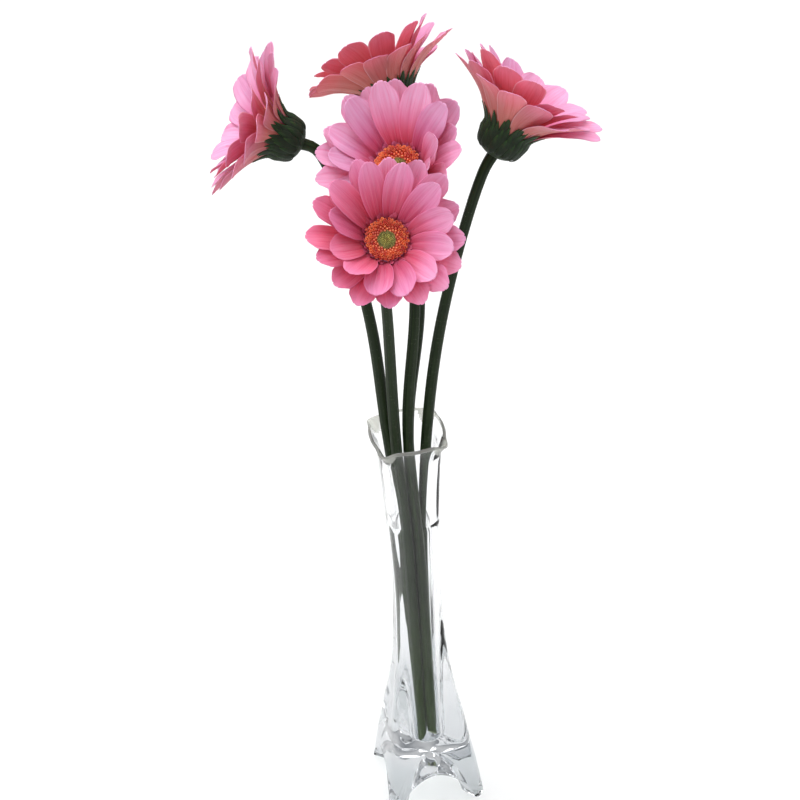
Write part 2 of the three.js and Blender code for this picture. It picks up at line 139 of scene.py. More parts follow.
# Outline of a petal: share of its length, share of its half width
LONG_OUTLINE = [(0, 0.3), (0.1, 0.48), (0.34, 0.86), (0.66, 1.02), (0.9, 0.95), (1, 0.68)]
SHORT_OUTLINE = [(0, 0.36), (0.14, 0.56), (0.45, 0.94), (0.8, 1.02), (1, 0.7)]
STRAP_OUTLINE = [(0, 0.6), (0.5, 1), (0.85, 0.8), (1, 0.3)]

# Layers of petals: how many, length, share by which they are longer on the side that points up, half
# width, rise at the root in degrees, rise at the tip beyond the cup's angle, where they leave the core
# and their root inside it
LAYERS = [
    dict(count=16, length=40, longer=0.05, half=7.7, rise=62, tip=-14, outline=LONG_OUTLINE,
         start=CORE_RADIUS, spring=-7, root=(11.4, -8)),
    dict(count=12, length=33, longer=0.24, half=8, rise=70, tip=-2, outline=SHORT_OUTLINE,
         start=CORE_RADIUS, spring=-1.5, root=(11.6, -3)),
]
UPWARD = (0, 0, 1)
# Small rays between the petals and the disc
STRAPS = [
    dict(count=21, length=6, half=1.5, rise=56, tip=4, outline=STRAP_OUTLINE,
         start=12.5, spring=0.8, root=(11.6, 0)),
    dict(count=15, length=3.6, half=1.1, rise=66, tip=16, outline=STRAP_OUTLINE,
         start=12.1, spring=1.6, root=(11.2, 0.8)),
]

FIRST_SEED = 101
SEED_STEP = 17

# Disc florets stand on the disc's surface, given as radius and height, and buds on its eye
GOLDEN = math.pi * (3 - math.sqrt(5))
FLORET_SPACING = 0.86
BUD_SPACING = 0.47
DISC_INNER = 5.5
DISC_OUTER = 11.8
DISC_SURFACE = [(0, 2.9), (3, 3.1), (5.4, 2.7), (7.6, 3.3), (9.8, 3.9), (12, 3.7)]
DISC_OUTLINE = [(0, 0.4), (11.4, 0.4), (12, 1.8), (11.7, 2.7), (9.8, 3), (7.6, 2.4), (5.4, 1.9), (0, 1.8)]
EYE_OUTLINE = [(0, 0.6), (5.2, 0.6), (5.4, 2.1), (3, 2.5), (0, 2.3)]
DISC_SIDES = 40
EYE_SIDES = 30
FLORET_SIDES = 10
FLORET_SUNK = 0.55  # share of its height
LOBE_REACH = 0.35
# A floret's outline: share of its width, share of its height, place on its colour's way
BUD_PROFILE = [
    (0.55, 0, 0), (0.75, 0.35, 0.35), (1, 0.7, 0.7), (0.92, 0.88, 0.88), (0.5, 0.98, 0.98), (0.02, 1, 1)]
OPEN_PROFILE = [
    (0.45, 0, 0), (0.55, 0.45, 0.45), (0.85, 0.8, 0.8), (1.35, 1, 1), (0.9, 0.93, 0.75),
    (0.4, 0.72, 0.3), (0.02, 0.6, 0.1)]
PRONG_PROFILE = [(0, 0.16), (0.6, 0.128), (1, 0.144)]  # share of its length, radius

# Stems and green cups
STEM_RADIUS = 3.5
NECK_LENGTH = 32
STEM_TOP = 18
WAIST_HEIGHT = 200
STEMS_AT_RIM = 305
STEM_FOOT = WELL_FLOOR + 0.3
STEM_SIDES = 36
STEM_STEPS = 150
RIDGE_COUNT = 9
RIDGE_HEIGHT = 0.028  # share of the stem's radius
CUT_REACH = 14  # the slant of the cut fades out along this length
CUT_SLANT = 1.15
HAIR_COUNT = 1500
HAIR_RADIUS = 0.045
HAIR_FREE = 12  # rings at each end of a stem that have no hairs
CUP_OUTLINE = [(3.4, -22.4), (6.6, -21.5), (9.4, -20), (11.8, -17.4), (13.1, -13), (13.9, -10)]
CUP_TOP = (13.7, -8.3)
CUP_SIDES = 48
BRACT_ROWS = 12
BRACT_COLUMNS = np.array([-1, -0.55, 0, 0.55, 1])
BRACT_OUTLINE = [(0, 0.6), (0.3, 1), (0.65, 0.8), (0.88, 0.38), (1, 0.06)]
BRACT_THICK = 0.34
BRACT_RIDGE = 0.16
BRACT_GAP = 0.95  # between the middle of a petal and the bracts' way behind it
# Rings of bracts: how many, where they start and end along the cup and the petals behind it, half
# width, distance from the cup
BRACT_RINGS = [
    (15, 0.2, 13, 1.7, 0.42), (15, 1.5, 17.5, 1.7, 0.34), (15, 4, 21.5, 1.7, 0.26),
    (15, 7, 24.5, 1.6, 0.18), (13, 9, 27, 2.2, 0.1),
]

# Flowers: centre of the head from the vase's axis, the way it faces, cup angle in degrees, how many
# degrees flatter the petals lie on one side and which way that side is, how many degrees the petals
# are turned about the head's axis, the stem's route from the vase's axis, the head's size, which way
# the stem's foot is cut, how deep the pink is on the whole and how much deeper painted shade makes it
# on one side, and which way that painted shaded side is
FLOWERS = [
    dict(name="front", centre=(-5.2, -66.8, 486.6), facing=(0.096, -0.707, 0.7), cup=30,
         flatter=-8, flat_side=(-0.5, -0.6, -0.6), spin=0, foot=(-3.9, -5.4), rim=(-7.6, -9.5),
         shoulder=(-7.6, -24, 400), size=1, cut=40,
         blush=(0.85, 0.5), painted_shade_side=(-1, 0, -0.1)),
    dict(name="middle", centre=(4.7, -0.4, 494), facing=(-0.199, -0.535, 0.821), cup=38,
         flatter=-28, flat_side=(0.7, -0.62, -0.36), spin=9, foot=(3.9, -5.4), rim=(0.7, -3.5),
         shoulder=(9.6, -1, 395), size=1.1, cut=250,
         blush=(-0.5, 0.2), painted_shade_side=(0.8, 0, 0.3)),
    dict(name="back", centre=(1.5, 62, 518), facing=(-0.3, 0.52, 0.8), cup=36,
         flatter=14, flat_side=(-1, -0.3, -0.3), spin=0, foot=(0, 6.6), rim=(1.6, 6.5),
         shoulder=(13, 20, 385), size=1.04, cut=120,
         blush=(0.5, 0.5), painted_shade_side=(-0.7, 0.1, 0.7)),
    dict(name="left", centre=(-72, 21, 514), facing=(-0.887, 0.104, 0.449), cup=32,
         flatter=8, flat_side=(0.3, -0.9, 0.3), spin=0, foot=(-6.3, 2), rim=(-13, -1),
         shoulder=(-19.6, -2, 396), size=1.03, cut=200,
         blush=(-0.9, 0.2), painted_shade_side=(-0.7, 0.1, 0.7)),
    dict(name="right", centre=(75, 14, 514), facing=(0.547, 0.2625, 0.791), cup=40,
         flatter=0, flat_side=(0, 0, 1), spin=0, foot=(6.3, 2), rim=(13.6, 2),
         shoulder=(27.6, 5, 388), size=1.1, cut=300,
         blush=(0.1, 0.4), painted_shade_side=(-0.7, 0.1, 0.7)),
]

# Camera: it looks along +Y from above, rolled a little, with the vase's axis near the middle
CAMERA_ELEVATION = math.radians(36)
CAMERA_ROLL = 0.06329
CAMERA_DISTANCE = 1700
CAMERA_LENS = 121.0
CAMERA_TARGET = (-3.1, 0, 324.17)  # from the vase's axis

# Stage, in metres
FLOOR_REACH = 6
FLOOR_DROP = 0.0002
SKY = [(0, (0.34, 0.36, 0.39)), (0.7, (1, 1, 1))]  # from the horizon upward
SKY_STRENGTH = 0.75
# Lamps: name, place, what they point at, size, power, colour
LAMPS = [
    ("top_light", (-0.3, 0.5, 2.2), (0, 0, 0.3), (1.6, 1.6), 34, (1, 1, 1)),
    ("front_light", (-1.2, -1.8, 1.4), (0, 0, 0.35), (1.0, 1.4), 14, (1, 1, 1)),
    ("side_light", (1.9, 0.3, 0.9), (0, 0, 0.25), (0.5, 1.6), 10, (0.95, 0.97, 1)),
]

low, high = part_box("vase")
AXIS = np.array([(low[0] + high[0]) / 2, (low[1] + high[1]) / 2, 0]) / MM


# Numbers and curves


def seeded(seed):
    """The same numbers each time: the solids' petals are placed with them too."""
    state = seed
    while True:
        state = (state * 1664525 + 1013904223) % 4294967296
        yield state / 4294967296


def table_at(table, x):
    """A smooth curve through a table's rows, read at x: gives the other columns last."""
    rows = np.array(table, float)
    x = np.asarray(x, float)
    last = len(rows) - 1
    before = rows[np.maximum(np.arange(last + 1) - 1, 0)]
    after = rows[np.minimum(np.arange(last + 1) + 1, last)]
    slope = (after[:, 1:] - before[:, 1:]) / (after[:, :1] - before[:, :1])
    row = np.clip(np.searchsorted(rows[:, 0], x) - 1, 0, last - 1)
    span = (rows[row + 1, 0] - rows[row, 0])[..., None]
    t = np.clip((x - rows[row, 0])[..., None] / span, 0, 1)
    return (
        rows[row, 1:] * (2 * t**3 - 3 * t**2 + 1)
        + slope[row] * span * (t**3 - 2 * t**2 + t)
        + rows[row + 1, 1:] * (3 * t**2 - 2 * t**3)
        + slope[row + 1] * span * (t**3 - t**2)
    )


def through(points, per_stretch):
    """Points on a smooth curve through the given ones, in any number of dimensions."""
    given = [np.array(point, float) for point in points]
    given = [2 * given[0] - given[1], *given, 2 * given[-1] - given[-2]]
    made = []
    for index in range(len(given) - 3):
        p0, p1, p2, p3 = given[index:index + 4]
        d0, d1, d2 = (max(np.linalg.norm(b - a) ** 0.5, 1e-6)
                      for a, b in ((p0, p1), (p1, p2), (p2, p3)))
        leave = ((p1 - p0) / d0 - (p2 - p0) / (d0 + d1) + (p2 - p1) / d1) * d1
        arrive = ((p2 - p1) / d1 - (p3 - p1) / (d1 + d2) + (p3 - p2) / d2) * d1
        for step in range(per_stretch):
            t = step / per_stretch
            made.append(
                p1
                + leave * t
                + (3 * (p2 - p1) - 2 * leave - arrive) * t**2
                + (2 * (p1 - p2) + leave + arrive) * t**3
            )
    made.append(given[-2])
    return np.array(made)


def evenly(points, count):
    """The same curve as count points at even distances, and those distances."""
    steps = np.linalg.norm(np.diff(points, axis=0), axis=1)
    reach = np.concatenate([[0], np.cumsum(steps)])
    at = np.linspace(0, reach[-1], count)
    columns = [np.interp(at, reach, points[:, axis]) for axis in range(points.shape[1])]
    return np.stack(columns, axis=1), at


def around(count):
    """Angles of so many places, evenly round a circle."""
    return np.linspace(0, 2 * math.pi, count + 1)[:-1]


def circled(radius, angles, height):
    """Points at the radii, angles and heights."""
    return np.stack([radius * np.cos(angles), radius * np.sin(angles), height + 0 * angles], axis=-1)


def swell(x, middle, width):
    """A soft hump, 1 at its middle."""
    return np.exp(-(((x - middle) / width) ** 2))


# Meshes


def shown(name, data):
    """A new object, in the scene."""
    made = bpy.data.objects.new(name, data)
    bpy.context.scene.collection.objects.link(made)
    return made


class Body:
    """Points and faces of one piece, gathered shape by shape, with numbers kept at the points."""

    def __init__(self):
        self.points = []
        self.faces = []
        self.slots = []
        # The last mark holds how deep a petal's pink is, with painted shade on one side of its head
        self.marks = {"along": [], "across": [], "tone": [], "blush": []}
        self.count = 0

    def add(self, points, faces, slot=0, along=0.0, across=0.0, tone=0.5, blush=0.0):
        """faces is an array of corner numbers; slot one number or one for each face."""
        points = np.asarray(points, float).reshape(-1, 3)
        faces = np.asarray(faces, int)
        self.points.append(points)
        self.faces.extend((faces + self.count).tolist())
        self.slots.append(np.broadcast_to(slot, (len(faces),)))
        for name, values in zip(self.marks, (along, across, tone, blush)):
            values = np.asarray(values, float).ravel()
            self.marks[name].append(np.broadcast_to(values, (len(points),)))
        self.count += len(points)

    def piece(self, name, finishes, slot, *nodes):
        """The finished object, riding on the one body and standing for the given nodes."""
        mesh = bpy.data.meshes.new(name)
        mesh.from_pydata((np.concatenate(self.points) * MM).tolist(), [], self.faces)
        for finish in finishes:
            mesh.materials.append(bpy.data.materials[finish])
        mesh.polygons.foreach_set("material_index", np.concatenate(self.slots).astype(np.int32))
        mesh.polygons.foreach_set("use_smooth", np.ones(len(mesh.polygons), bool))
        for mark, values in self.marks.items():
            layer = mesh.attributes.new(mark, "FLOAT", "POINT")
            layer.data.foreach_set("value", np.concatenate(values).astype(np.float32))
        mesh.update()
        made = shown(name, mesh)
        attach(made, "root")
        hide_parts(*nodes)
        return made


def quads(rows, columns, closed=False):
    """Faces of a grid of points, seen with rows away from the viewer and columns to the left."""
    across = columns if closed else columns - 1
    row, column = np.meshgrid(np.arange(rows - 1), np.arange(across), indexing="ij")
    a = row * columns + column
    d = row * columns + (column + 1) % columns
    return np.stack([a, a + columns, d + columns, d], axis=-1).reshape(-1, 4)


def pole_faces(count):
    """Faces that join a ring of points to the one after them."""
    nearby = np.arange(count)
    return np.stack([np.full(count, count), nearby, (nearby + 1) % count], axis=1)


def shell_faces(rows, columns):
    """Faces of a thin closed blade: its upper grid of points comes first, its lower one second."""
    upper = quads(rows, columns)
    grid = np.arange(2 * rows * columns).reshape(2, rows, columns)
    edges = []
    # The order of its corners turns each face outward
    for (above, below), order in ((grid[:, :, 0], (0, 3, 2, 1)), (grid[:, :, -1], (0, 1, 2, 3)),
                                  (grid[:, 0], (0, 1, 2, 3)), (grid[:, -1], (0, 3, 2, 1))):
        edge = np.stack([above[:-1], above[1:], below[1:], below[:-1]], axis=1)
        edges.append(edge[:, order])
    return upper, upper[:, ::-1] + rows * columns, np.concatenate(edges)


def blade(body, head, azimuth, parts, along, across, slots, tone, blush=0.0, root=None):
    """A thin closed blade round the head's axis, from values that are row by column. parts: how far
    out and how high its middle line is, the line's angle, the distance across, the lift, the thickness.
    """
    parts = np.broadcast_arrays(*parts, along, across)
    out, up, angle, lateral, lift, thick, along, across = (np.array(part) for part in parts)
    if root:
        out[0], up[0] = root
    outward = np.array([math.cos(azimuth), math.sin(azimuth), 0])
    sideways = np.array([-math.sin(azimuth), math.cos(azimuth), 0])
    above = -np.sin(angle)[..., None] * outward + np.cos(angle)[..., None] * np.array(UPWARD)
    middle = out[..., None] * outward + up[..., None] * np.array(UPWARD)
    surface = middle + lateral[..., None] * sideways + lift[..., None] * above
    half = (thick / 2)[..., None] * above
    points = np.concatenate([surface + half, surface - half]).reshape(-1, 3)
    faces = shell_faces(*out.shape)
    slot = np.concatenate([np.full(len(part), slot) for part, slot in zip(faces, slots)])
    body.add(head.placed(points), np.concatenate(faces), slot, np.tile(along.ravel(), 2),
             np.tile(across.ravel(), 2), tone, blush)


# Finishes


class Finish:
    """A material, or a world with its sky, and short ways to add nodes to it."""

    def __init__(self, name, owners=bpy.data.materials, shader="Principled BSDF"):
        self.owner = owners.new(name)
        self.owner.use_nodes = True
        self.tree = self.owner.node_tree
        self.shader = self.tree.nodes[shader]

    def node(self, kind, inputs=(), **settings):
        made = self.tree.nodes.new("ShaderNode" + kind)
        for name, value in settings.items():
            setattr(made, name, value)
        for name, value in dict(inputs).items():
            self.put(made, name, value)
        return made

    def put(self, node, name, value):
        """Links a socket, or sets a number or an opaque colour."""
        if isinstance(value, bpy.types.NodeSocket):
            self.tree.links.new(value, node.inputs[name])
        else:
            node.inputs[name].default_value = (*value, 1) if isinstance(value, tuple) else value

    def set(self, **values):
        """Sets inputs of the main shader, named with underscores."""
        for name, value in values.items():
            self.put(self.shader, name.replace("_", " "), value)

    def mark(self, name):
        return self.node("Attribute", attribute_name=name).outputs["Fac"]

    def sum(self, operation, first, second, clamp=False):
        return self.node("Math", {0: first, 1: second}, operation=operation, use_clamp=clamp).outputs[0]

    def times(self, first, second):
        return self.sum("MULTIPLY", first, second)

    def ramp(self, share, stops):
        made = self.node("ValToRGB", {"Fac": share})
        elements = made.color_ramp.elements
        for _ in stops[2:]:
            elements.new(0.5)
        for element, (place, colour) in zip(elements, stops):
            element.position = place
            element.color = (*colour, 1)
        return made.outputs["Color"]

    def mask(self, share, start, end, most=1):
        """Nothing up to the start, and the most from the end on."""
        return self.ramp(share, [(start, (0, 0, 0)), (end, (most, most, most))])

    def toned(self, colour, value, hue=(0, 0.5)):
        """The colour, varied by the tone at the points: value and hue are a swing and a start."""
        made = self.node("HueSaturation", {"Color": colour})
        for name, (swing, start) in (("Value", value), ("Hue", hue)):
            self.put(made, name, self.sum("ADD", self.times(self.mark("tone"), swing), start))
        return made.outputs[0]

    def blend(self, share, first, second, kind="MIX"):
        inputs = {0: share, 6: first, 7: second}
        return self.node("Mix", inputs, data_type="RGBA", blend_type=kind).outputs[2]

    def noise(self, scale, detail=2.0, vector=None):
        if vector is None:
            vector = self.node("TexCoord").outputs["Object"]
        return self.node("TexNoise", {"Vector": vector, "Scale": scale, "Detail": detail}).outputs["Fac"]

    def stretched(self, across, along, detail=2.0):
        """Noise in streaks that run along a blade or a stem."""
        scaled = zip("XYZ", ("across", "along", "tone"), (across, along, 37.0))
        place = self.node("CombineXYZ", {axis: self.times(self.mark(name), size)
                                         for axis, name, size in scaled})
        return self.noise(1.0, detail, place.outputs[0])

    def bump(self, height, strength, distance):
        made = self.node("Bump", {"Height": height, "Strength": strength, "Distance": distance})
        self.put(self.shader, "Normal", made.outputs[0])
        return made.outputs[0]

    def glow_through(self, colour, share, normal=None):
        """Lets some light pass from behind, as through a petal."""
        behind = self.node("BsdfTranslucent", {"Color": colour})
        if normal is not None:
            self.put(behind, "Normal", normal)
        self.mix_in(behind, share)

    def mix_in(self, other, share):
        """Mixes a share of another shader into the main one."""
        mixed = self.node("MixShader", {0: share, 1: self.shader.outputs[0], 2: other.outputs[0]})
        self.put(self.tree.nodes["Material Output"], "Surface", mixed.outputs[0])


def petal_finish(name, stops, edge, streak_dark_and_groove_shade, streak_light, glow, glow_share):
    """stops colour a petal from its root to its tip. A deeper pink of its own and painted shade on one
    side of the head read them nearer the root, and painted shade darkens its two grooves.
    """
    finish = Finish(name)
    along = finish.mark("along")
    side = finish.sum("ABSOLUTE", finish.mark("across"), 0.0)
    # A deeper pink of the petal's own and painted shade on one side of the head move the stops toward the
    # deep root
    reach = finish.times(finish.mark("blush"), 0.42)
    colour = finish.ramp(finish.times(along, finish.sum("SUBTRACT", 1.12, reach)), stops)
    streaks = finish.mask(finish.stretched(9.0, 1.6), 0.42, 0.72)
    colour = finish.blend(streaks, colour, streak_dark_and_groove_shade, "MULTIPLY")
    fine = finish.stretched(42.0, 2.4)
    colour = finish.blend(finish.mask(fine, 0.5, 0.85, 0.5), colour, streak_light)
    # Painted shade in the petal's two grooves, fainter toward its tip
    painted_groove_shade = finish.sum("ABSOLUTE", finish.sum("SUBTRACT", side, GROOVE_AT), 0.0)
    painted_groove_shade = finish.sum("SUBTRACT", 1.0, finish.sum("DIVIDE", painted_groove_shade, GROOVE_WIDTH), clamp=True)
    fading = finish.sum("SUBTRACT", 0.75, finish.times(along, 0.7))
    painted_groove_shade = finish.times(painted_groove_shade, fading)
    colour = finish.blend(painted_groove_shade, colour, streak_dark_and_groove_shade, "MULTIPLY")
    rim = finish.times(finish.mask(side, 0.9, 1.0), 0.65)
    colour = finish.toned(finish.blend(rim, colour, edge), value=(0.2, 0.9), hue=(0.016, 0.492))
    finish.set(Base_Color=colour, Roughness=0.52, Specular_IOR_Level=0.35,
               Sheen_Weight=0.12, Sheen_Roughness=0.4)
    ribs = finish.sum("ADD", fine, finish.stretched(16.0, 1.0))
    finish.glow_through(glow, glow_share, finish.bump(ribs, 0.35, 0.0004))


def ramp_finish(name, share, stops, **inputs):
    """A finish with one ramp, read along its piece or by noise of the given scale and detail."""
    finish = Finish(name)
    place = finish.mark("along") if share == "along" else finish.noise(*share)
    finish.set(Base_Color=finish.ramp(place, stops), **inputs)


def finishes():
    petal_finish(
        "petal_top",
        [(0, (0.62, 0.045, 0.09)), (0.16, (0.7, 0.08, 0.16)), (0.4, (0.82, 0.17, 0.32)),
         (0.64, (0.93, 0.35, 0.62)), (1, (0.97, 0.56, 0.86))],
        edge=(0.9, 0.3, 0.58), streak_dark_and_groove_shade=(0.92, 0.68, 0.79), streak_light=(0.96, 0.6, 0.86),
        glow=(0.95, 0.22, 0.44), glow_share=0.3,
    )
    petal_finish(
        "petal_under",
        [(0, (0.58, 0.33, 0.22)), (0.12, (0.66, 0.24, 0.19)), (0.5, (0.72, 0.27, 0.27)),
         (1, (0.8, 0.34, 0.48))],
        edge=(0.95, 0.76, 0.8), streak_dark_and_groove_shade=(0.88, 0.7, 0.72), streak_light=(0.74, 0.48, 0.5),
        glow=(0.95, 0.17, 0.15), glow_share=0.35,
    )

    floret = Finish("disc_floret")
    colour = floret.ramp(floret.mark("along"), [
        (0, (0.36, 0.03, 0.015)), (0.45, (0.7, 0.08, 0.03)), (0.8, (0.92, 0.19, 0.07)),
        (1, (0.96, 0.34, 0.18))])
    colour = floret.toned(colour, value=(0.5, 0.8), hue=(0.03, 0.478))
    floret.set(Base_Color=colour, Roughness=0.55, Specular_IOR_Level=0.3)
    floret.bump(floret.noise(1800.0), 0.3, 0.0002)
    floret.glow_through((0.9, 0.25, 0.06), 0.15)

    ramp_finish("floret_style", "along", [
        (0, (0.75, 0.12, 0.05)), (0.6, (0.86, 0.28, 0.14)), (1, (0.92, 0.5, 0.36))], Roughness=0.5)

    eye = Finish("eye_bud")
    colour = eye.ramp(eye.mark("across"), [
        (0, (0.46, 0.42, 0.1)), (0.5, (0.36, 0.36, 0.09)), (0.85, (0.2, 0.21, 0.07)),
        (1, (0.36, 0.2, 0.06))])
    colour = eye.blend(eye.mark("along"), (0.05, 0.06, 0.015), colour)
    eye.set(Base_Color=eye.toned(colour, value=(0.8, 0.7)), Roughness=0.6, Specular_IOR_Level=0.3)

    bract = Finish("bract_green")
    # The cup's own green, darkened to near black as painted shade, lighter toward the bracts' tips
    colour = bract.ramp(bract.mark("along"), [
        (0, (0.012, 0.02, 0.011)), (0.55, (0.014, 0.026, 0.012)), (0.85, (0.02, 0.05, 0.014)),
        (1, (0.045, 0.1, 0.025))])
    side = bract.sum("ABSOLUTE", bract.mark("across"), 0.0)
    colour = bract.blend(bract.mask(side, 0.6, 1.0, 0.4), colour, (0.03, 0.06, 0.022))
    mottled = bract.mask(bract.noise(400.0, 3.0), 0.4, 0.8, 0.7)
    colour = bract.blend(mottled, colour, (0.5, 0.55, 0.45), "MULTIPLY")
    bract.set(Base_Color=colour, Roughness=0.6, Specular_IOR_Level=0.2)
    bract.bump(bract.stretched(14.0, 3.0), 0.5, 0.0003)

    stem = Finish("stem_green")
    streaks = stem.stretched(3.0, 1.5, 3.0)
    # The stem's own green, darkened to near black as painted shade
    colour = stem.ramp(streaks, [
        (0.3, (0.008, 0.014, 0.004)), (0.55, (0.014, 0.028, 0.007)), (0.8, (0.03, 0.052, 0.013))])
    near_foot = stem.ramp(stem.mark("along"), [
        (0, (0.9, 0.9, 0.9)), (0.13, (0.3, 0.3, 0.3)), (0.3, (0, 0, 0))])
    colour = stem.blend(near_foot, colour, (0.075, 0.13, 0.022))
    colour = stem.blend(stem.noise(90.0, 4.0), colour, (0.5, 0.6, 0.5), "MULTIPLY")
    stem.set(Base_Color=colour, Roughness=0.5, Specular_IOR_Level=0.18)
    stem.bump(stem.stretched(7.0, 4.0), 0.4, 0.0003)

    ramp_finish("stem_cut", (900.0, 3.0), [
        (0.3, (0.35, 0.42, 0.16)), (0.7, (0.6, 0.64, 0.36))], Roughness=0.5)
    ramp_finish("fine_hair", "along", [
        (0, (0.12, 0.2, 0.08)), (1, (0.4, 0.45, 0.32))], Roughness=0.6)
    ramp_finish("pale_floor", (3.0, 4.0), [
        (0.3, (0.84, 0.84, 0.84)), (0.7, (0.86, 0.86, 0.86))], Roughness=0.9, Specular_IOR_Level=0.1)

    clear("clear_glass", 1.31, [
        (0, (0.6, 0.62, 0.64)), (0.2, (0.68, 0.7, 0.72)), (0.42, (0.93, 0.94, 0.95)),
        (1, (0.98, 0.985, 0.99))])
    clear("glass_edge", 1.25, (0.74, 0.75, 0.7), rough=0.25, clearness=0.7)
    clear("clear_water", 1.08, (0.99, 0.995, 0.99))


def clear(name, bend, colour, rough=0.0, clearness=1.0):
    """Glass or water, whose shadow is light. Its colour is one colour, or stops along its height."""
    finish = Finish(name)
    if isinstance(colour, list):
        colour = finish.ramp(finish.mark("along"), colour)
    finish.set(Base_Color=colour, Roughness=rough, IOR=bend, Transmission_Weight=clearness)
    passing = finish.node("BsdfTransparent", {"Color": (0.9, 0.92, 0.91)})
    finish.mix_in(passing, finish.node("LightPath").outputs["Is Shadow Ray"])


# Vase and water


def square_radius(half, squareness, angle):
    """Distance from the axis to a rounded square, at an angle from a face's middle."""
    across = np.abs(np.cos(angle)) ** squareness + np.abs(np.sin(angle)) ** squareness
    return half * across ** (-1 / squareness)


def from_middle(angle):
    """The angle to the middle of the nearest face."""
    quarter = math.pi / 2
    return np.abs(angle - np.round(angle / quarter) * quarter)


def arch_share(angle):
    """How far the arch between two feet is open: 1 over a face's middle, 0 at a foot."""
    return np.sqrt(np.clip(1 - (from_middle(angle) / ARCH_HALF) ** 2, 0, None))


def lip_share(angles, height):
    """How much of a lip stands out: 1 at a corner of the rim."""
    from_corner = (math.pi / 4 - from_middle(angles)) / LIP_WIDTH
    risen = np.clip((height - LIP_START) / (VASE_HEIGHT - LIP_START), 0, 1)
    return np.exp(-(from_corner**2)) * risen**2


def wall_ring(half, squareness, angles, height):
    """A ring of the vase's wall as radii and heights, drawn out into lips near the rim."""
    lip = lip_share(angles, height)
    return square_radius(half, squareness, angles) + LIP_REACH * lip, height - LIP_DROOP * lip


def vase_angles():
    """Angles round the vase, closer together at the corners and at the edges of the arches."""
    even = np.linspace(-1, 1, 41)[:-1]
    quarter = 45 * (1.4 * even - 0.4 * even**3)
    arch = np.degrees(ARCH_HALF) * np.array([0.97, 0.99, 0.999])
    quarter = np.unique(np.concatenate([quarter, arch, -arch]))
    return np.radians(np.concatenate([quarter + 90 * turn for turn in range(4)]))


def whole_rings(rings, angles):
    """Rings of radii and heights, each spread all the way round where it is one number."""
    return np.array([[np.broadcast_to(part, len(angles)) for part in ring] for ring in rings])


def turned(body, rings, angles, slots=0):
    """Rings of radii and heights at the angles, turned about the vase's axis and closed by poles."""
    radii, heights = np.moveaxis(whole_rings(rings, angles), 1, 0)
    points = circled(radii, angles + VASE_TURN, heights) + AXIS
    count = len(angles)
    slots = np.broadcast_to(slots, (len(rings) - 1, count)).ravel()
    faces = quads(len(rings), count, closed=True)[:, ::-1]
    body.add(points, faces, slots, points[..., 2] / VASE_HEIGHT)
    pole = pole_faces(count)
    for ring, faces in ((points[0], pole[:, ::-1]), (points[-1], pole)):
        centre = ring.mean(axis=0)
        body.add(np.vstack([ring, centre]), faces, along=centre[2] / VASE_HEIGHT)


def outside_half(height):
    """Half width of the vase's outside, and its squareness."""
    return np.moveaxis(table_at(VASE_OUTSIDE, height), -1, 0)


def well_half(height):
    """Half width of the well with its rounded floor, and its squareness."""
    half, squareness = np.moveaxis(table_at(VASE_INSIDE, height), -1, 0)
    down = np.clip((WELL_FLOOR + WELL_FILLET - height) / WELL_FILLET, 0, 1)
    return half - WELL_FILLET * (1 - np.sqrt(1 - down**2)), squareness


def underside_rings(angles, open_share):
    """From the middle of the vault out to the feet and the arches between them."""
    rows = [(index, *row) for index, row in enumerate(VASE_UNDERSIDE)]
    steps = np.linspace(VAULT_START, len(rows) - 1, UNDERSIDE_RINGS)
    rings = []
    for half, squareness, corner, face in table_at(rows, steps):
        height = np.maximum(corner + (face - corner) * open_share, 0)
        rings.append((square_radius(half, squareness, angles), height))
    return rings


def outside_rings(angles, open_share):
    """Up the outside: the edges of the feet, the wall over the arches, and the flare."""
    steps = np.linspace(0, len(VASE_RINGS) - 1, ARCH_RINGS)
    corners, faces = (np.interp(steps, range(len(VASE_RINGS)), row) for row in zip(*VASE_RINGS))
    heights = [corner + (face - corner) * open_share for corner, face in zip(corners, faces)]
    rings = []
    for raise_by, inward in FOOT_ROUNDING:
        height = heights[0] + raise_by
        rings.append((square_radius(*outside_half(height), angles) - inward, height))
    heights[0] = heights[0] + FOOT_EDGE
    wall = [
        *np.linspace(VASE_RINGS[-1][0] + 2, LIP_START, OUTSIDE_RINGS),
        *np.linspace(LIP_START + 1, RIM_BOTTOM, FLARE_RINGS),
    ]
    return rings + [wall_ring(*outside_half(height), angles, height) for height in [*heights, *wall]]


def rim_rings(angles):
    """Round the rim from the outside to the inside."""
    rings = []
    for turn in np.linspace(0, math.pi, RIM_RINGS + 2)[1:-1]:
        half = RIM_HALF + RIM_ROUND * math.cos(turn)
        height = RIM_BOTTOM + (VASE_HEIGHT - RIM_BOTTOM) * math.sin(turn)
        rings.append(wall_ring(half, RIM_SQUARENESS, angles, height))
    return rings


def well_rings(angles):
    """Down the well's wall and over its rounded floor."""
    fillet = WELL_FILLET * (1 - np.sin(np.linspace(0, math.pi / 2, FILLET_RINGS)))
    wall = [
        *np.linspace(RIM_BOTTOM, LIP_START, FLARE_RINGS),
        *np.linspace(LIP_START - 4, WELL_FLOOR + WELL_FILLET + 2, WELL_RINGS),
        *(WELL_FLOOR + fillet),
    ]
    rings = [wall_ring(*well_half(height), angles, height) for height in wall]
    radius = square_radius(*well_half(WELL_FLOOR), angles)
    return rings + [(share * radius, WELL_FLOOR) for share in FLOOR_SHARES]


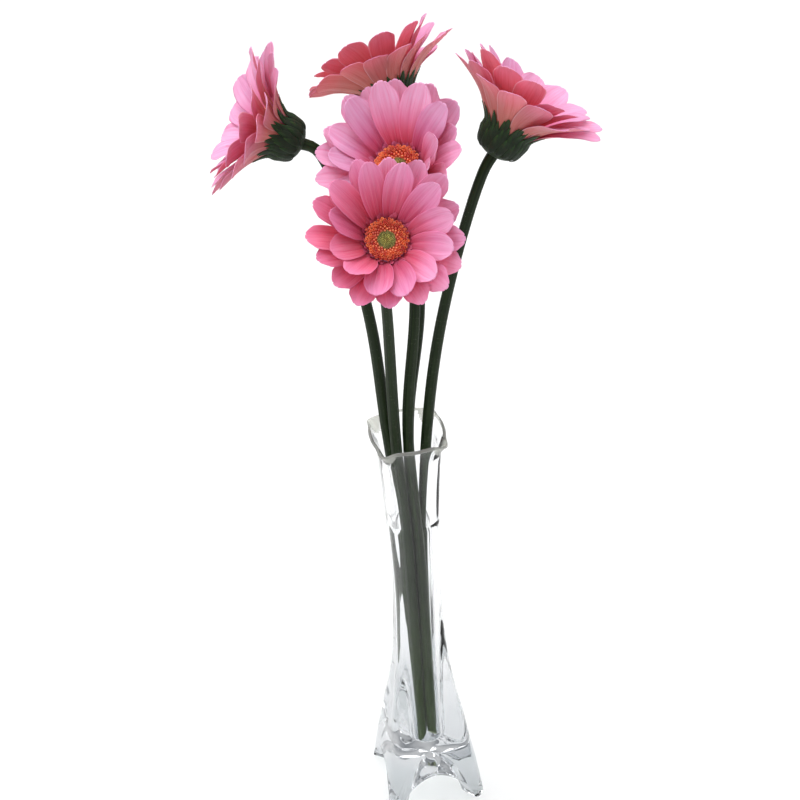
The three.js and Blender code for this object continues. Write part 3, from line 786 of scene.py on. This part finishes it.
def glass_vase():
    angles = vase_angles()
    open_share = arch_share(angles)
    rings = underside_rings(angles, open_share) + outside_rings(angles, open_share)
    rings += rim_rings(angles) + well_rings(angles)
    heights = whole_rings(rings, angles)[:, 1]
    frosted = (heights.mean(axis=1)[:, None] > EDGE_FROM) | (lip_share(angles, heights) > LIP_EDGE)
    body = Body()
    turned(body, rings, angles, frosted[1:].astype(int))
    weld(body.piece("glass_vase", ["clear_glass", "glass_edge"], "glass", "vase"))


def weld(piece):
    """Joins points that lie on each other and turns the faces outward."""
    mesh = bmesh.new()
    mesh.from_mesh(piece.data)
    bmesh.ops.remove_doubles(mesh, verts=mesh.verts, dist=1e-6)
    bmesh.ops.recalc_face_normals(mesh, faces=mesh.faces)
    mesh.to_mesh(piece.data)
    mesh.free()


def water():
    """The water in the well, over the floor, up the wall and across its surface."""
    angles = around(WATER_SIDES)
    floor_half, _ = well_half(WELL_FLOOR)
    rings = [(share * floor_half, WELL_FLOOR - WATER_OVERLAP) for share in WATER_FLOOR_SHARES]
    fillet = WELL_FILLET * (1 - np.cos(np.linspace(0, math.pi / 2, FILLET_RINGS)))
    wall = np.linspace(WELL_FLOOR + 2 * WELL_FILLET, WATER_LEVEL, WATER_RINGS)
    for height in [*(WELL_FLOOR + fillet), *wall]:
        radius = square_radius(*well_half(height), angles) + WATER_OVERLAP
        rings.append((radius, height - WATER_OVERLAP))
    radius = square_radius(*well_half(WATER_LEVEL), angles)
    rings += [(radius - inward, WATER_LEVEL) for inward in WATER_INWARD]
    body = Body()
    turned(body, rings, angles)
    weld(body.piece("clear_water", ["clear_water"], "water", "water"))


# Flower heads


class Head:
    """Where a flower's head stands and the way it faces."""

    def __init__(self, flower):
        self.flower = flower
        self.name = flower["name"]
        self.facing = Vector(flower["facing"]).normalized()
        self.turn = np.array(Vector((0, 0, 1)).rotation_difference(self.facing).to_matrix())
        self.centre = AXIS + np.array(flower["centre"])

    def placed(self, points):
        return points @ self.turn.T * self.flower["size"] + self.centre

    def behind(self, distance):
        return self.centre - np.array(self.facing) * distance * self.flower["size"]

    def toward(self, direction, azimuth):
        """How far an azimuth round the head points toward a side: 1 straight toward it, -1 away."""
        side = self.turn.T @ np.array(direction)
        return math.cos(azimuth - math.atan2(side[1], side[0]))

    def pink_and_painted_shade_at(self, azimuth):
        """How deep the pink of a petal is: its own depth, and painted shade on one side of the head."""
        whole, swing = self.flower["blush"]
        return whole + swing * self.toward(self.flower["painted_shade_side"], azimuth)

    def cup_at(self, azimuth):
        toward = self.toward(self.flower["flat_side"], azimuth)
        return self.flower["cup"] - self.flower["flatter"] * max(toward, 0)


def petal_line(layer, length, rise, tip, share):
    """How far out and how high a petal's middle line is after a share of its length."""
    t = np.linspace(0, 1, PETAL_STEPS + 1)
    angle = np.radians(tip + (rise - tip) * (1 - t) ** BEND)
    middle = (angle[1:] + angle[:-1]) / 2
    step = length * t[1]
    out = layer["start"] + step * np.concatenate([[0], np.cumsum(np.cos(middle))])
    up = layer["spring"] + step * np.concatenate([[0], np.cumsum(np.sin(middle))])
    return np.interp(share, t, out), np.interp(share, t, up), np.interp(share, t, angle)


def both(s, width):
    """Soft humps along the two grooves of a petal."""
    return swell(s, GROOVE_AT, width) + swell(s, -GROOVE_AT, width)


def petal(body, head, layer, azimuth, rise, tip, length, fine, chance):
    """One ray: a folded blade with two grooves and a blunt, notched tip."""
    columns = PETAL_COLUMNS if fine else STRAP_COLUMNS
    rows = PETAL_ROWS if fine else STRAP_ROWS
    t = (1 - (1 - np.linspace(0, 1, rows)) ** 1.25)[:, None]
    s = columns[None, :]
    blunt = (PETAL_BLUNT + VARIED["blunt"] * chance[0]) * np.abs(s) ** 2.2
    blunt = blunt + NOTCH_DEPTH * both(s, NOTCH_WIDTH)
    share = t - blunt * t**5
    width = layer["half"] * table_at(layer["outline"], t[:, 0])[:, :1]
    out, up, angle = petal_line(layer, length, rise, tip, share)
    fold = PETAL_FOLD * width / layer["half"] * (0.4 * np.abs(s) + 0.6 * s**2)
    scale = layer["half"] / LAYERS[0]["half"]
    roll = width * s * (PETAL_ROLL + (chance[1] - 0.5) * VARIED["roll"] * t)
    depth = GROOVE_DEPTH * np.clip(t / 0.12, 0, 1) * (1 - t**6)
    wave = np.sin(2 * math.pi * ((1.2 + chance[2]) * t + chance[3])) * np.abs(s) ** 1.5 * t * s
    curl = PETAL_CURL * (chance[4] - CURL_LEVEL) * t**3
    lift = scale * (fold - both(s, GROOVE_WIDTH) * depth + PETAL_WAVE * wave + curl) + roll
    drift = PETAL_DRIFT * (chance[5] - 0.5) * t**2 * length / LAYERS[0]["length"]
    thick = (PETAL_THICK if fine else STRAP_THICK) * (1 - 0.55 * np.abs(s) ** 4) * (1 - 0.3 * t)
    # The root runs on into the core of the head
    blade(body, head, azimuth, (out, up, angle, width * s + drift, lift, thick),
          t if fine else 0.14 + 0.26 * t, s, (0, int(fine), 0), chance[6], head.pink_and_painted_shade_at(azimuth),
          layer["root"])


def petals(head, draw, rng):
    """All the rays of a head: long and short petals, and the small rays round the disc."""
    body = Body()
    lathe(body, head, CORE_OUTLINE, CORE_SIDES)
    for index, layer in enumerate(LAYERS):
        for turn in range(layer["count"]):
            jitter = VARIED["place"] * (next(draw) - 0.5)
            azimuth = 2 * math.pi * (turn + 0.5 * index + jitter) / layer["count"]
            azimuth += math.radians(head.flower["spin"])
            cup = head.cup_at(azimuth)
            rise = layer["rise"] + VARIED["rise"] * (next(draw) - 0.5)
            tip = cup + layer["tip"] + VARIED["tip"] * (next(draw) - 0.5)
            length = layer["length"] * (1 + VARIED["length"] * (next(draw) - 0.5))
            length *= 1 + layer["longer"] * max(head.toward(UPWARD, azimuth), 0)
            petal(body, head, layer, azimuth, rise, tip, length, True, rng.random(7))
    for index, layer in enumerate(STRAPS):
        for turn in range(layer["count"]):
            chance = rng.random(9)
            jitter = VARIED_STRAP["place"] * (chance[7] - 0.5)
            azimuth = 2 * math.pi * (turn + 0.5 * index + jitter) / layer["count"]
            lean = VARIED_STRAP["rise"] * (chance[8] - 0.5)
            tip = head.cup_at(azimuth) + layer["tip"] + lean
            length = layer["length"] * (0.6 + VARIED_STRAP["length"] * chance[0])
            petal(body, head, layer, azimuth, layer["rise"] + lean, tip, length, False, chance[:7])
    body.piece(f"ray_petals_{head.name}", ["petal_top", "petal_under"], "petals", f"petals_{head.name}")


def lathe(body, head, outline, sides, slot=0):
    """A turned body about the head's axis whose outline starts and ends on that axis."""
    outline = np.array(outline, float)
    outline[[0, -1], 0] = 1e-3
    angles = around(sides)
    points = circled(outline[:, :1], angles, outline[:, 1:])
    faces = quads(len(outline), sides, closed=True)[:, ::-1]
    along = np.repeat(np.linspace(0, 1, len(outline)), sides)
    across = np.tile(angles * 4, len(outline))
    body.add(head.placed(points.reshape(-1, 3)), faces, slot, along, across)


def tilt(lean, azimuth):
    """A turn that leans +Z outward at an azimuth."""
    axis = Vector((-math.sin(azimuth), math.cos(azimuth), 0))
    return np.array(Matrix.Rotation(lean, 3, axis))


def on_disc(radius, azimuth, above=0):
    """A point on the disc's surface or above it."""
    height = float(table_at(DISC_SURFACE, radius)[0]) + above
    return np.array([radius * math.cos(azimuth), radius * math.sin(azimuth), height])


def floret(body, head, radius, azimuth, lean, height, width, lobes, chance):
    """One disc floret: a small tube, closed as a bud or open in five lobes."""
    profile = np.array(OPEN_PROFILE if lobes else BUD_PROFILE, float)
    angles = around(FLORET_SIDES)
    star = np.cos(5 * angles)[None, :] * np.clip(profile[:, :1] - 0.5, 0, 1)
    ring = width * profile[:, :1] * (1 + lobes * LOBE_REACH * star)
    points = circled(ring, angles + 6 * chance, height * profile[:, 1:2]).reshape(-1, 3)
    points = (points - np.array([0, 0, height * FLORET_SUNK])) @ tilt(lean, azimuth).T
    faces = quads(len(profile), FLORET_SIDES, closed=True)[:, ::-1]
    body.add(head.placed(points + on_disc(radius, azimuth)), faces, 0,
             np.repeat(profile[:, 2], FLORET_SIDES), min(radius / DISC_INNER, 1), chance)


def prong(body, head, start, way, length, tone):
    """A thin three-sided thread on the disc, open at its sunk end."""
    way = way / np.linalg.norm(way)
    side = np.cross(way, [0.3, 0.9, 0.2])
    side /= np.linalg.norm(side)
    other = np.cross(way, side)
    points = np.array([
        start + way * length * share + radius * (side * math.cos(turn) + other * math.sin(turn))
        for share, radius in PRONG_PROFILE for turn in THIRDS
    ])
    along = np.repeat([share for share, radius in PRONG_PROFILE], 3)
    body.add(head.placed(points), quads(3, 3, closed=True), 1, along, 0, tone)
    body.add(head.placed(points[6:]), [[0, 2, 1]], 1, 1.0, 0, tone)


def disc(head, rng):
    body = Body()
    lathe(body, head, DISC_OUTLINE, DISC_SIDES)
    first = int((DISC_INNER / FLORET_SPACING) ** 2)
    last = int((DISC_OUTER / FLORET_SPACING) ** 2)
    for count in range(first, last):
        chance = rng.random(5)
        radius = FLORET_SPACING * math.sqrt(count) + 0.2 * (chance[0] - 0.5)
        azimuth = GOLDEN * count + 0.05 * (chance[1] - 0.5)
        outer = (radius - DISC_INNER) / (DISC_OUTER - DISC_INNER)
        lean = math.radians(2 + 34 * outer + 16 * (chance[2] - 0.5))
        lobes = 1 if outer > 0.3 + 0.25 * chance[3] else 0
        height = 2.2 + 1.1 * outer + 0.5 * chance[3]
        floret(body, head, radius, azimuth, lean, height, 0.58 + 0.16 * outer, lobes, chance[4])
        if lobes and chance[3] > 0.35:
            start = on_disc(radius, azimuth, 0.3)
            way = np.array([math.cos(azimuth) * outer * 0.5, math.sin(azimuth) * outer * 0.5, 1.0])
            prong(body, head, start, way + 0.5 * (rng.random(3) - 0.5), 1.6 + chance[0], chance[1])
    body.piece(f"disc_florets_{head.name}", ["disc_floret", "floret_style"], "florets",
               f"florets_{head.name}")


def eye(head, rng):
    body = Body()
    lathe(body, head, EYE_OUTLINE, EYE_SIDES)
    for count in range(1, int((DISC_INNER / BUD_SPACING) ** 2)):
        chance = rng.random(3)
        radius = BUD_SPACING * math.sqrt(count)
        lean = math.radians(12 * radius / DISC_INNER)
        width = 0.36 + 0.1 * radius / DISC_INNER
        floret(body, head, radius, GOLDEN * count + 0.4, lean, 1.7 + 0.3 * chance[0], width, 0,
               chance[1])
    body.piece(f"eye_buds_{head.name}", ["eye_bud"], "eye", f"eye_{head.name}")


# Stems and green cups


def bract_path(head, azimuth):
    """The way that a bract takes in the head's half plane: up the cup and out along the petals."""
    layer = LAYERS[0]
    cup = head.cup_at(azimuth)
    points = [(9.4, -20.5), (12.1, -17.3), (13.4, -13.2), (14.2, -10)]
    for share in (0.03, 0.1, 0.2, 0.32):
        out, up, angle = petal_line(layer, layer["length"], layer["rise"], cup + layer["tip"], share)
        points.append((out + BRACT_GAP * math.sin(angle), up - BRACT_GAP * math.cos(angle)))
    return evenly(through(points, per_stretch=8), count=80)


def bract(body, head, azimuth, start, end, half, offset, chance):
    """A pointed green leaf on the cup, with a ridge along its middle."""
    path, reach = bract_path(head, azimuth)
    t = np.linspace(0, 1, BRACT_ROWS)[:, None]
    s = BRACT_COLUMNS[None, :]

    def place(at):
        return np.array([np.interp(at, reach, column) for column in path.T])

    at = start + (end - start) * t
    out, up = place(at)
    step = place(at + 0.4) - place(at - 0.4)
    width = half * table_at(BRACT_OUTLINE, t[:, 0])[:, :1]
    lateral = width * s + 0.8 * (chance - 0.5) * t**2
    hug = (width * s) ** 2 / (2 * np.maximum(out, 8))
    ridge = BRACT_RIDGE * (1 - np.abs(s)) * (1 - 0.6 * t)
    flush = offset * np.clip(t / 0.15, 0, 1) - 0.2 * np.clip(1 - t / 0.08, 0, 1)
    lift = -flush - ridge + hug - 0.3 * (chance - 0.3) * t**4
    thick = BRACT_THICK * (1 - 0.5 * np.abs(s))
    blade(body, head, azimuth, (out, up, np.arctan2(step[1], step[0]), lateral, lift, thick), t, s,
          (1, 1, 1), chance)


def stem_path(head):
    """The way of a stem from the floor of the well up into its head."""
    flower = head.flower
    foot = AXIS[:2] + np.array(flower["foot"])
    given = [
        (*foot, STEM_FOOT),
        (*foot, WAIST_HEIGHT),
        (*(AXIS[:2] + np.array(flower["rim"])), STEMS_AT_RIM),
        AXIS + np.array(flower["shoulder"]),
        head.behind(NECK_LENGTH),
        head.behind(STEM_TOP),
    ]
    return evenly(through(given, per_stretch=24), STEM_STEPS)


def stem_rings(path, reach, cut_way):
    """Rings of points round a stem, with fine ridges and a slanted cut at its foot."""
    angles = around(STEM_SIDES)
    tangents = np.gradient(path, axis=0)
    tangents /= np.linalg.norm(tangents, axis=1)[:, None]
    side = np.array([1.0, 0, 0])
    rings = []
    total = reach[-1]
    for point, tangent, at in zip(path, tangents, reach):
        side = side - tangent * np.dot(side, tangent)
        side /= np.linalg.norm(side)
        other = np.cross(tangent, side)
        swelling = 0.35 * swell(at, total, 9) + 0.12 * math.sin(at / 41)
        radius = STEM_RADIUS + swelling - 0.25 * swell(at, 0.82 * total, 60)
        ridges = 1 + RIDGE_HEIGHT * np.cos(RIDGE_COUNT * angles) + 0.012 * np.cos(4 * angles + at / 50)
        ring = point + radius * ridges[:, None] * (
            np.cos(angles)[:, None] * side + np.sin(angles)[:, None] * other)
        slant = max(1 - at / CUT_REACH, 0) * STEM_RADIUS * CUT_SLANT * (1 + np.cos(angles - cut_way))
        rings.append(ring + slant[:, None] * tangent)
    return np.array(rings), angles


def hairs(body, points, ways, lengths):
    """Closed three-sided spikes at the given points."""
    ways = ways / np.linalg.norm(ways, axis=1)[:, None]
    side = np.cross(ways, [0.31, 0.87, 0.38])
    side /= np.linalg.norm(side, axis=1)[:, None]
    other = np.cross(ways, side)
    corners = [points - 0.1 * ways + HAIR_RADIUS * (side * math.cos(turn) + other * math.sin(turn))
               for turn in THIRDS]
    tips = points + ways * lengths[:, None]
    every = np.stack([*corners, tips], axis=1).reshape(-1, 3)
    first = np.arange(len(points))[:, None] * 4
    faces = np.concatenate([first + corner for corner in ([0, 1, 3], [1, 2, 3], [2, 0, 3], [0, 2, 1])])
    body.add(every, faces, 3, np.tile([0, 0, 0, 1], len(points)))


def stem(head, rng):
    body = Body()
    path, reach = stem_path(head)
    rings, angles = stem_rings(path, reach, math.radians(head.flower["cut"]))
    count, sides = rings.shape[:2]
    along = np.repeat(reach / reach[-1], sides)
    across = np.tile(angles, count)
    body.add(rings, quads(count, sides, closed=True)[:, ::-1], 0, along, across, rng.random())
    foot = np.vstack([rings[0], rings[0].mean(axis=0) + 0.3 * (rings[1] - rings[0]).mean(axis=0)])
    body.add(foot, pole_faces(sides)[:, [0, 2, 1]], 2)

    outline = [(0, CUP_OUTLINE[0][1]), *through(CUP_OUTLINE, per_stretch=4), CUP_TOP, (0, CUP_TOP[1])]
    lathe(body, head, outline, CUP_SIDES, slot=1)
    for row, (number, start, end, half, offset) in enumerate(BRACT_RINGS):
        for turn in range(number):
            chance = rng.random(3)
            azimuth = 2 * math.pi * (turn + 0.37 * row + 0.25 * (chance[0] - 0.5)) / number
            if row == len(BRACT_RINGS) - 1:
                azimuth = 2 * math.pi * turn / number
            bract(body, head, azimuth, start + chance[1], end + 1.6 * (chance[2] - 0.5), half,
                  offset, chance[0])

    ring = (HAIR_FREE + rng.random(HAIR_COUNT) * (count - 2 * HAIR_FREE)).astype(int)
    spot = (rng.random(HAIR_COUNT) * sides).astype(int)
    points = rings[ring, spot]
    ways = points - path[ring] + 1.2 * (rng.random((HAIR_COUNT, 3)) - 0.5)
    hairs(body, points, ways, 0.35 + 0.45 * rng.random(HAIR_COUNT))
    body.piece(f"stem_and_bracts_{head.name}", ["stem_green", "bract_green", "stem_cut", "fine_hair"],
               "stems", f"stem_{head.name}")


# Floor, light and camera


def floor():
    mesh = bpy.data.meshes.new("pale_floor")
    corners = [(x * FLOOR_REACH, y * FLOOR_REACH, 0) for x, y in ((-1, -1), (1, -1), (1, 1), (-1, 1))]
    mesh.from_pydata(corners, [], [(0, 1, 2, 3)])
    mesh.materials.append(bpy.data.materials["pale_floor"])
    stage = shown("pale_floor", mesh)
    stage.location.z = -FLOOR_DROP


def softbox(name, place, aim, size, power, tint):
    lamp = bpy.data.lights.new(name, "AREA")
    lamp.shape = "RECTANGLE"
    lamp.size, lamp.size_y = size
    lamp.energy = power
    lamp.color = tint
    made = shown(name, lamp)
    made.location = place
    made.rotation_euler = (Vector(aim) - Vector(place)).to_track_quat("-Z", "Y").to_euler()


def light():
    sky = Finish("soft_room", bpy.data.worlds, "Background")
    place = sky.node("TexCoord").outputs["Generated"]
    height = sky.node("SeparateXYZ", {0: place}).outputs["Z"]
    sky.set(Color=sky.ramp(height, SKY), Strength=SKY_STRENGTH)
    bpy.context.scene.world = sky.owner
    for lamp in LAMPS:
        softbox(*lamp)


def camera():
    lens = bpy.data.cameras.new("camera")
    lens.lens = CAMERA_LENS
    lens.sensor_width = 36
    lens.clip_end = 50
    made = shown("camera", lens)
    back = Vector((0, -math.cos(CAMERA_ELEVATION), math.sin(CAMERA_ELEVATION)))
    level = Vector((1, 0, 0))
    upright = Vector((0, math.sin(CAMERA_ELEVATION), math.cos(CAMERA_ELEVATION)))
    right = math.cos(CAMERA_ROLL) * level - math.sin(CAMERA_ROLL) * upright
    up = math.sin(CAMERA_ROLL) * level + math.cos(CAMERA_ROLL) * upright
    place = Vector(AXIS) + Vector(CAMERA_TARGET) + back * CAMERA_DISTANCE
    matrix = Matrix((right, up, back)).transposed().to_4x4()
    matrix.translation = place * MM
    made.matrix_world = matrix
    bpy.context.scene.camera = made


def main():
    finishes()
    camera()
    floor()
    light()
    glass_vase()
    water()
    for index, flower in enumerate(FLOWERS):
        head = Head(flower)
        draw = seeded(FIRST_SEED + SEED_STEP * index)
        rng = np.random.default_rng(RNG_SEED + index)
        petals(head, draw, rng)
        disc(head, rng)
        eye(head, rng)
        stem(head, rng)
    bpy.context.scene.view_settings.view_transform = "Standard"


main()
